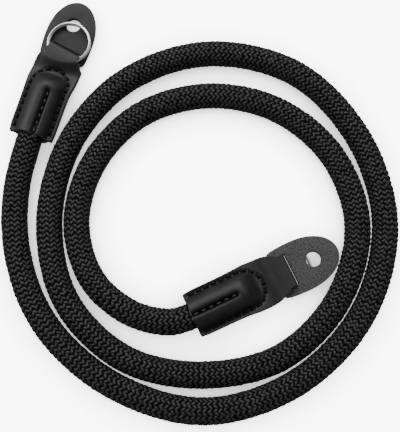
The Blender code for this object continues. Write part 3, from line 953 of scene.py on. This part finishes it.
nylon, shader, coords = new_material("nylon_filament_yarn_braided")
stripes = node(nylon, "TexWave", {"Vector": coords["UV"], "Scale": FILAMENTS / WAVES, "Distortion": 1.5,
                                  "Detail": 1.0, "Detail Scale": 2.0}, bands_direction="Y")
patches = node(nylon, "TexNoise", {"Vector": coords["Object"], "Scale": 1 / (3 * MM), "Detail": 2.0})
bump = node(nylon, "Bump", {"Height": stripes.outputs["Fac"], "Strength": 0.35, "Distance": 0.08 * MM})
set_inputs(nylon, shader, {
    "Base Color": two_tones(nylon, patches.outputs["Fac"], "#131313", "#272727"),
    "Normal": bump.outputs["Normal"], "Roughness": 0.55, "IOR": NYLON_IOR,
})

# Painted shade: the core's near-black colour and low specular level stand for the shadow between the strands.
core_painted_shade, shader, coords = new_material("nylon_core_painted_shade")
fibres = node(core_painted_shade, "TexNoise", {"Vector": coords["Object"], "Scale": 1 / (0.6 * MM)})
set_inputs(core_painted_shade, shader, {
    "Base Color": two_tones(core_painted_shade, fibres.outputs["Fac"], "#020202", "#060606"),
    "Roughness": 0.9, "Specular IOR Level": 0.1, "IOR": NYLON_IOR,
})
print("materials:", nylon.name, core_painted_shade.name)

# %% [markdown]
# The strips are cowhide with a smooth black finish. The finish is thin, so the pores still show as a
# fine grain, and it has a low gloss that makes long soft highlights on the crown over the rope. The
# grain is a pattern of cells about half a millimetre wide, and a broader noise varies colour and gloss
# as wear does. The strip's cut edges are dyed but have no finish, so they are matt and greyer, like a
# thin line drawn round it. The thread is dull black. The stitches in the crease are glossier, and
# their lighter grey colour is a painted highlight, a glint on the thread.

# %% Leather materials
GRAIN = 0.45 * MM

smooth_leather, shader, coords = new_material("cowhide_smooth_black_finish")
cells = node(smooth_leather, "TexVoronoi", {"Vector": coords["Object"], "Scale": 1 / GRAIN})
wear = node(smooth_leather, "TexNoise", {"Vector": coords["Object"], "Scale": 1 / (4 * MM), "Detail": 4.0})
gloss = node(smooth_leather, "MapRange", {"Value": wear.outputs["Fac"], "To Min": 0.44, "To Max": 0.58})
bump = node(smooth_leather, "Bump", {"Height": cells.outputs["Distance"], "Strength": 0.12,
                                     "Distance": 0.05 * MM})
set_inputs(smooth_leather, shader, {
    "Base Color": two_tones(smooth_leather, wear.outputs["Fac"], "#161616", "#1f1f1f"),
    "Roughness": gloss.outputs["Result"], "Normal": bump.outputs["Normal"],
    "IOR": 1.5, "Specular IOR Level": 0.4,
})

cut_edge, shader, coords = new_material("cowhide_cut_edge_dyed")
fibres = node(cut_edge, "TexNoise", {"Vector": coords["Object"], "Scale": 1 / (0.3 * MM)})
set_inputs(cut_edge, shader, {
    "Base Color": two_tones(cut_edge, fibres.outputs["Fac"], "#343434", "#4e4e4e"), "Roughness": 0.85,
})

THREAD_TWIST = 0.25 * MM

thread, shader, coords = new_material("waxed_polyester_thread_black")
twist = node(thread, "TexNoise", {"Vector": coords["Object"], "Scale": 1 / THREAD_TWIST})
bump = node(thread, "Bump", {"Height": twist.outputs["Fac"], "Strength": 0.4, "Distance": 0.05 * MM})
set_inputs(thread, shader, {
    "Base Color": two_tones(thread, twist.outputs["Fac"], "#040404", "#0a0a0a"),
    "Normal": bump.outputs["Normal"], "Roughness": 0.7, "Specular IOR Level": 0.25,
})

# Painted highlight: the crease stitches' lighter grey colour stands for a glint on the thread; their lower
# roughness is real gloss.
thread_painted_glint, shader, coords = new_material("waxed_polyester_thread_painted_glint")
twist = node(thread_painted_glint, "TexNoise", {"Vector": coords["Object"], "Scale": 1 / THREAD_TWIST})
set_inputs(thread_painted_glint, shader, {
    "Base Color": two_tones(thread_painted_glint, twist.outputs["Fac"], "#262626", "#3c3c3c"), "Roughness": 0.4,
})
print("materials:", smooth_leather.name, cut_edge.name, thread.name, thread_painted_glint.name)

# %% [markdown]
# The pads have two faces. The side towards the ring keeps the hide's finish, but matt. The side that
# lies against the camera is the hide's flesh side, brushed up to suede: fibres in all directions, a
# soft sheen and a light speckle.

# %% Pad materials
matt_leather, shader, coords = new_material("cowhide_matt_dark_grey")
cells = node(matt_leather, "TexVoronoi", {"Vector": coords["Object"], "Scale": 1 / GRAIN})
cloud = node(matt_leather, "TexNoise", {"Vector": coords["Object"], "Scale": 1 / (3 * MM), "Detail": 4.0})
bump = node(matt_leather, "Bump", {"Height": cells.outputs["Distance"], "Strength": 0.15,
                                   "Distance": 0.05 * MM})
set_inputs(matt_leather, shader, {
    "Base Color": two_tones(matt_leather, cloud.outputs["Fac"], "#141414", "#1c1c1c"),
    "Normal": bump.outputs["Normal"], "Roughness": 0.62, "IOR": 1.5,
})

suede, shader, coords = new_material("cowhide_suede_dark_grey")
nap = node(suede, "TexNoise", {"Vector": coords["Object"], "Scale": 1 / (0.55 * MM), "Detail": 3.0,
                               "Roughness": 0.6})
bump = node(suede, "Bump", {"Height": nap.outputs["Fac"], "Strength": 0.5, "Distance": 0.12 * MM})
set_inputs(suede, shader, {
    "Base Color": two_tones(suede, nap.outputs["Fac"], "#131313", "#4c4c4c", 0.36, 0.54),
    "Normal": bump.outputs["Normal"], "Roughness": 0.95, "Sheen Weight": 0.4, "Sheen Roughness": 0.5,
})
print("materials:", matt_leather.name, suede.name)

# %% [markdown]
# The rings are nickel-plated steel, tumbled to a polish. Tumbling leaves a very fine haze of
# scratches, so the roughness wanders a little instead of being one value.

# %% Steel material
steel, shader, coords = new_material("nickel_plated_steel_polished")
haze = node(steel, "TexNoise", {"Vector": coords["Object"], "Scale": 1 / (0.8 * MM), "Detail": 3.0})
polish = node(steel, "MapRange", {"Value": haze.outputs["Fac"], "To Min": 0.2, "To Max": 0.3})
set_inputs(steel, shader, {
    "Base Color": two_tones(steel, haze.outputs["Fac"], "#e4e3e1", "#f0efed"),
    "Roughness": polish.outputs["Result"], "Metallic": 1.0,
})
print("material:", steel.name)

# %% [markdown]
# Three kinds of piece have two materials: a strip has its cut edges, the stitches of the crease have
# the thread with a painted highlight, and a pad has its suede side. Which faces get the second one is
# told from where they lie and where they face in their end's own frame.

# %% Give each piece its material
EDGE_TURN = 0.3             # how far a face must be turned outwards to belong to the cut edge
FLAT_TURN = 0.9             # and to the pad's flat side
CREASE_REACH = 2 * MM       # how far from the crease its stitches lie at most


def finish(obj, *materials):
    obj.data.materials.clear()
    for material in materials:
        obj.data.materials.append(material)


def faces_in_end(obj, side):
    """Where a piece's faces lie and where they face, along three axes in the frame of its end."""
    to_end = np.array(END_PLACE[side].inverted())
    centres, normals = np.empty((2, 3 * len(obj.data.polygons)))
    obj.data.polygons.foreach_get("center", centres)
    obj.data.polygons.foreach_get("normal", normals)
    centres = centres.reshape(-1, 3) @ to_end[:3, :3].T + to_end[:3, 3]
    return centres.T, (normals.reshape(-1, 3) @ to_end[:3, :3].T).T


def second_material(obj, chosen):
    obj.data.polygons.foreach_set("material_index", np.asarray(chosen, dtype=int))
    print(f"{obj.name}: {np.count_nonzero(chosen)} faces of {obj.data.materials[1].name}")


finish(rope_core, core_painted_shade)
finish(braid_left, nylon)
finish(braid_right, nylon)
for side in MOUTHS:
    finish(rings[side], steel)
    finish(strips[side], smooth_leather, cut_edge)
    (x, y, _), (out_x, out_y, _) = faces_in_end(strips[side], side)
    y = y - loop_swing(side, x, y)[1]
    at_side = (np.abs(y) > strip_half(np.minimum(x, flat_end)) - CUT_EDGE) & (np.abs(out_y) > EDGE_TURN)
    second_material(strips[side], at_side | ((x < CUT_EDGE) & (out_x < -EDGE_TURN)))
    finish(threads[side], thread, thread_painted_glint)
    (x, y, z), _ = faces_in_end(threads[side], side)
    # The stitches in the crease get the thread with the painted highlight.
    painted_glint_stitches = (x < ROPE_INSERT) & (np.abs(y - CREASE_ASIDE[side]) < CREASE_REACH)
    second_material(threads[side], painted_glint_stitches & (z > seat_height))
    finish(pads[side], matt_leather, suede)
    _, (_, _, out_z) = faces_in_end(pads[side], side)
    second_material(pads[side], out_z * (-1 if side == "a" else 1) > FLAT_TURN)
print("finished", 3 + 4 * len(MOUTHS), "pieces")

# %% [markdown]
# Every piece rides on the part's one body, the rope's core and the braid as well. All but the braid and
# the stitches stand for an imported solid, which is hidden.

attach(rope_core, "root")
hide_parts("rope")
for braid in (braid_left, braid_right):
    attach(braid, "root")

for side in MOUTHS:
    for piece, slot, replaced in ((strips[side], "leather", f"leather_end_{side}"),
                                  (threads[side], "leather", None),
                                  (pads[side], "pad", f"protector_pad_{side}"),
                                  (rings[side], "ring", f"split_ring_{side}")):
        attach(piece, "root")
        if replaced:
            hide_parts(replaced)
print("declared the rope,", len(MOUTHS), "ends and their pieces")

# %% [markdown]
# The set is a photographer's white table: a plain pale floor, a large softbox at the back, one at the
# left, a weak one at the right and a faint white surround. Big lights give the leather its broad soft
# highlights. The photograph's background is blown out to white while the strap stays deep black, so
# the paper glows with a light of its own, and an occlusion node darkens that glow where the strap
# stands close over it: a painted contact shadow. Without that the contact shadows would be lost. Only
# the camera sees the paper: its light doesn't wash out the rope's flanks or the leather's reflections.

# %% Floor and lights
FLOOR_SIZE = 60.0
FLOOR_FIBRE = 25 * MM
FLOOR_GLOW = 8.0
SHADE_REACH = 12 * MM       # how near the strap darkens the paper
SHADE_FULL = 0.3            # share of open sky at which it is darkest
SHADE_LEFT = 0.12           # share of the glow that is left there
SURROUND = 0.30

bpy.ops.mesh.primitive_plane_add(size=FLOOR_SIZE, location=(0, 0, 0))
floor = named("floor")
paper, shader, coords = new_material("white_paper_matt")
fibre = node(paper, "TexNoise", {"Vector": coords["Object"], "Scale": 1 / FLOOR_FIBRE})
# Painted contact shadow: the occlusion darkens the paper's glow near the strap.
open_sky = node(paper, "AmbientOcclusion", {"Distance": SHADE_REACH}, samples=8)
glow = node(paper, "MapRange", {"Value": open_sky.outputs["AO"], "From Min": SHADE_FULL,
                                "To Min": SHADE_LEFT * FLOOR_GLOW, "To Max": FLOOR_GLOW})
set_inputs(paper, shader, {
    "Base Color": two_tones(paper, fibre.outputs["Fac"], "#f4f4f4", "#f8f8f8"), "Roughness": 0.9,
    "Emission Color": (1, 1, 1, 1), "Emission Strength": glow.outputs["Result"],
})
floor.visible_glossy = False
floor.visible_diffuse = False
finish(floor, paper)
floor.select_set(False)

LIGHTS = [
    {"name": "back", "place": (0.05, 1.00, 0.80), "size": 0.8, "power": 10.5},
    {"name": "left", "place": (-0.60, 0.25, 0.60), "size": 0.5, "power": 5},
    {"name": "right", "place": (0.60, 0.35, 0.60), "size": 0.5, "power": 1.5},
]
for row in LIGHTS:
    spot = Vector(row["place"])
    bpy.ops.object.light_add(type="AREA", location=spot,
                             rotation=(camera_target - spot).to_track_quat("-Z", "Y").to_euler())
    light = bpy.context.object
    light.name = row["name"] + "_softbox"
    light.data.shape = "SQUARE"
    light.data.size = row["size"]
    light.data.energy = row["power"]
    light.select_set(False)

world = bpy.data.worlds.new("studio")
bpy.context.scene.world = world
world.use_nodes = True
world.node_tree.nodes["Background"].inputs["Color"].default_value = (1, 1, 1, 1)
world.node_tree.nodes["Background"].inputs["Strength"].default_value = SURROUND
print(len(LIGHTS), "lights")
